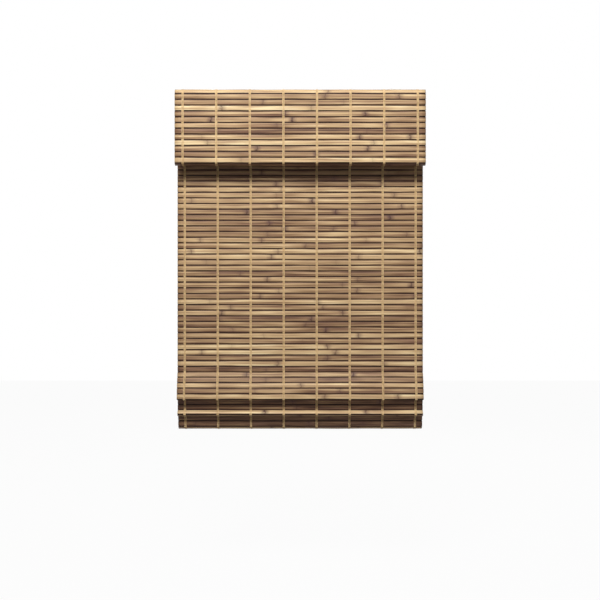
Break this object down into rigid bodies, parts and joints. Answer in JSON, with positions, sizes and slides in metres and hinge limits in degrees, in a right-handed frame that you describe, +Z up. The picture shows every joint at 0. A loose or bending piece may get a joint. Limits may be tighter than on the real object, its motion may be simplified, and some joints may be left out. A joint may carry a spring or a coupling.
{
  "type": "bamboo roman shade",
  "caption": "Woven bamboo slat roman shade with a matching valance, a cordless spring lift headrail and soft gathered folds at its foot.",
  "frame": {"origin": "centre of the four bracket screw holes, on the brackets' top faces that go against the window head", "axes": "+Z up along the screws into the window head, +X along the headrail to the right as seen from the room, -Y towards the room"},
  "size_m": [0.5842, 0.0757, 0.8001],
  "materials": {
    "bamboo": "split bamboo slats, stained light brown, satin",
    "warp_thread": "cream cotton thread, chain stitched in pairs",
    "headrail_steel": "folded steel, off-white powder coat",
    "bracket_steel": "pressed steel, white powder coat",
    "screw_steel": "zinc plated",
    "white_plastic": "moulded off-white acetal",
    "pine": "planed pine, unfinished",
    "hook_tape": "woven hook and loop tape",
    "motor_plastic": "moulded grey acetal",
    "spring_steel": "blued spring strip",
    "shaft_steel": "drawn steel bar",
    "cord": "braided polyester, 1.4 mm",
    "ring_plastic": "moulded translucent nylon"
  },
  "bodies": {
    "headrail": {"headrail_channel": "headrail_steel", "end_cap_left": "white_plastic", "end_cap_right": "white_plastic", "mounting_bracket_left": "bracket_steel", "mounting_bracket_right": "bracket_steel", "bracket_screws": "screw_steel", "valance_batten": "pine", "valance_batten_screws": "screw_steel", "valance_tape": "hook_tape", "valance_mat": "bamboo", "mat_batten": "pine", "mat_batten_screws": "screw_steel", "mat_tape": "hook_tape", "motor_tray": "motor_plastic", "motor_lid": "motor_plastic", "motor_screws": "screw_steel", "spool_cradle_left": "white_plastic", "spool_cradle_right": "white_plastic", "lift_cord_left": "cord", "lift_cord_right": "cord", "valance_threads": "warp_thread", "mat_head": "bamboo", "mat_head_threads": "warp_thread", "mat_head_rings": "ring_plastic"},
    "lift_shaft": {"lift_shaft": "shaft_steel", "output_drum": "motor_plastic", "cord_spool_left": "white_plastic", "cord_spool_right": "white_plastic"},
    "storage_drum": {"storage_drum": "motor_plastic", "flat_spring": "spring_steel"},
    "fold_1_upper": {"mat_fold_1_upper": "bamboo", "mat_fold_1_upper_threads": "warp_thread"},
    "fold_1_lower": {"mat_fold_1_lower": "bamboo", "mat_fold_1_lower_threads": "warp_thread"},
    "fold_2_upper": {"mat_fold_2_upper": "bamboo", "mat_fold_2_upper_threads": "warp_thread"},
    "fold_2_lower": {"mat_fold_2_lower": "bamboo", "mat_fold_2_lower_threads": "warp_thread"},
    "fold_3_upper": {"mat_fold_3_upper": "bamboo", "mat_fold_3_upper_threads": "warp_thread"},
    "fold_3_lower": {"mat_fold_3_lower": "bamboo", "mat_fold_3_lower_threads": "warp_thread"},
    "fold_4_upper": {"mat_fold_4_upper": "bamboo", "mat_fold_4_upper_threads": "warp_thread"},
    "fold_4_lower": {"mat_fold_4_lower": "bamboo", "mat_fold_4_lower_threads": "warp_thread"},
    "rings_1": {"cord_rings_1": "ring_plastic"},
    "rings_2": {"cord_rings_2": "ring_plastic"},
    "rings_3": {"cord_rings_3": "ring_plastic"},
    "foot": {"mat_gathered_folds": "bamboo", "mat_gathered_threads": "warp_thread", "mat_gathered_rings": "ring_plastic", "hem_bar": "pine", "cord_orbs": "ring_plastic", "cord_tail_left": "cord", "cord_tail_right": "cord"}
  },
  "joints": [
    {"name": "fold_1_upper", "type": "hinge", "parent": "headrail", "child": "fold_1_upper", "pos_m": [0, 0.0074, -0.2372], "axis": [-1, 0, 0], "range_deg": [0, 75], "deforming": ["lift_cord_left", "lift_cord_right"]},
    {"name": "fold_1_lower", "type": "hinge", "parent": "fold_1_upper", "child": "fold_1_lower", "pos_m": [0, 0.0106, -0.2904], "axis": [-1, 0, 0], "range_deg": [-150, 0]},
    {"name": "rings_1", "type": "hinge", "parent": "fold_1_lower", "child": "rings_1", "pos_m": [0, 0.0074, -0.3436], "axis": [-1, 0, 0], "range_deg": [0, 75]},
    {"name": "fold_2_upper", "type": "hinge", "parent": "fold_1_lower", "child": "fold_2_upper", "pos_m": [0, 0.0074, -0.3436], "axis": [-1, 0, 0], "range_deg": [0, 150]},
    {"name": "fold_2_lower", "type": "hinge", "parent": "fold_2_upper", "child": "fold_2_lower", "pos_m": [0, 0.0106, -0.3968], "axis": [-1, 0, 0], "range_deg": [-150, 0]},
    {"name": "rings_2", "type": "hinge", "parent": "fold_2_lower", "child": "rings_2", "pos_m": [0, 0.0074, -0.45], "axis": [-1, 0, 0], "range_deg": [0, 75]},
    {"name": "fold_3_upper", "type": "hinge", "parent": "fold_2_lower", "child": "fold_3_upper", "pos_m": [0, 0.0074, -0.45], "axis": [-1, 0, 0], "range_deg": [0, 150]},
    {"name": "fold_3_lower", "type": "hinge", "parent": "fold_3_upper", "child": "fold_3_lower", "pos_m": [0, 0.0106, -0.5032], "axis": [-1, 0, 0], "range_deg": [-150, 0]},
    {"name": "rings_3", "type": "hinge", "parent": "fold_3_lower", "child": "rings_3", "pos_m": [0, 0.0074, -0.5564], "axis": [-1, 0, 0], "range_deg": [0, 75]},
    {"name": "fold_4_upper", "type": "hinge", "parent": "fold_3_lower", "child": "fold_4_upper", "pos_m": [0, 0.0074, -0.5564], "axis": [-1, 0, 0], "range_deg": [0, 150]},
    {"name": "fold_4_lower", "type": "hinge", "parent": "fold_4_upper", "child": "fold_4_lower", "pos_m": [0, 0.0106, -0.6096], "axis": [-1, 0, 0], "range_deg": [-150, 0]},
    {"name": "foot", "type": "hinge", "parent": "fold_4_lower", "child": "foot", "pos_m": [0, 0.0074, -0.6628], "axis": [-1, 0, 0], "range_deg": [0, 75]},
    {"name": "lift_shaft", "type": "hinge", "parent": "headrail", "child": "lift_shaft", "pos_m": [0, 0.007, -0.0198], "axis": [1, 0, 0], "range_deg": [0, 1917]},
    {"name": "storage_drum", "type": "hinge", "parent": "headrail", "child": "storage_drum", "pos_m": [0, -0.0116, -0.0198], "axis": [1, 0, 0], "range_deg": [-1917, 0]}
  ],
  "couplings": [
    {"joint": "fold_1_lower", "follows": "fold_1_upper", "ratio": -2},
    {"joint": "rings_1", "follows": "fold_1_upper", "ratio": 1},
    {"joint": "fold_2_upper", "follows": "fold_1_upper", "ratio": 2},
    {"joint": "fold_2_lower", "follows": "fold_1_upper", "ratio": -2},
    {"joint": "rings_2", "follows": "fold_1_upper", "ratio": 1},
    {"joint": "fold_3_upper", "follows": "fold_1_upper", "ratio": 2},
    {"joint": "fold_3_lower", "follows": "fold_1_upper", "ratio": -2},
    {"joint": "rings_3", "follows": "fold_1_upper", "ratio": 1},
    {"joint": "fold_4_upper", "follows": "fold_1_upper", "ratio": 2},
    {"joint": "fold_4_lower", "follows": "fold_1_upper", "ratio": -2},
    {"joint": "foot", "follows": "fold_1_upper", "ratio": 1},
    {"joint": "lift_shaft", "follows": "fold_1_upper", "ratio": 25.528},
    {"joint": "storage_drum", "follows": "fold_1_upper", "ratio": -25.528}
  ]
}
